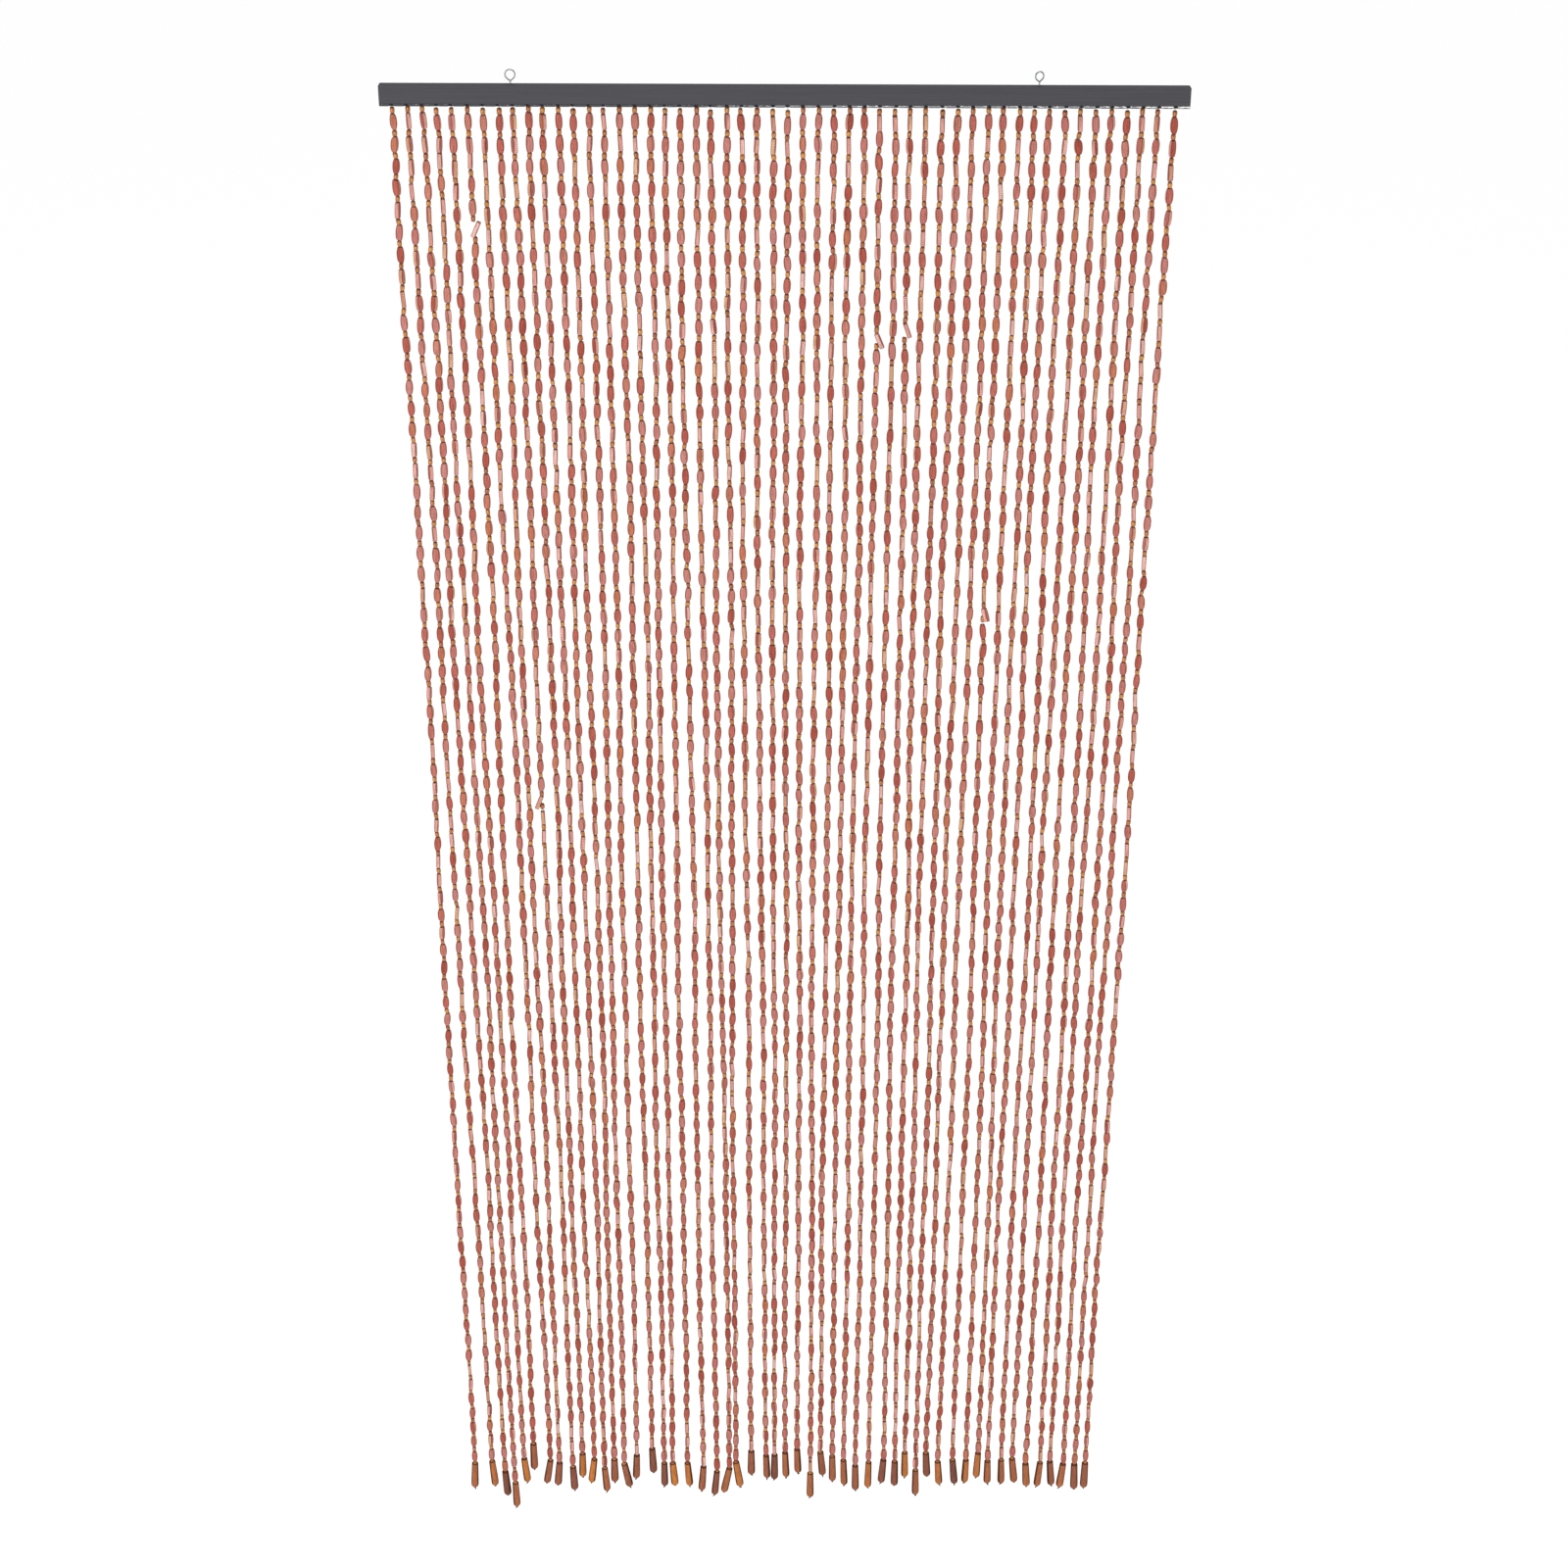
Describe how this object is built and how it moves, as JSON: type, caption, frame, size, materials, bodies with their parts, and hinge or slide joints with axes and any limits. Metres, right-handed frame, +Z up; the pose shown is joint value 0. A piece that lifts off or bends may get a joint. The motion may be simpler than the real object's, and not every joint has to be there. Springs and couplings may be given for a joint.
{
  "type": "bead curtain with hanging rail",
  "caption": "Door curtain of threaded wooden bead strands that end in turned drops, tied along a painted wooden rail with screw eyes on top.",
  "frame": {"origin": "centre of the rail's top face, between the two screw eyes", "axes": "+Z up, +X along the rail to the viewer's right, and the front of the curtain looks along -Y"},
  "size_m": [0.9, 0.0169, 2.0553],
  "materials": {
    "charcoal_paint": "brushed charcoal paint on a wooden batten, satin, worn through along the lower edge",
    "plated_wire": "bright zinc plated wire",
    "stained_wood_beads": "terracotta and ochre stained wood under a thin satin lacquer"
  },
  "bodies": {
    "root": {"rail": "charcoal_paint", "left_screw_eye": "plated_wire", "right_screw_eye": "plated_wire", "bead_strands": "stained_wood_beads"}
  },
  "joints": []
}
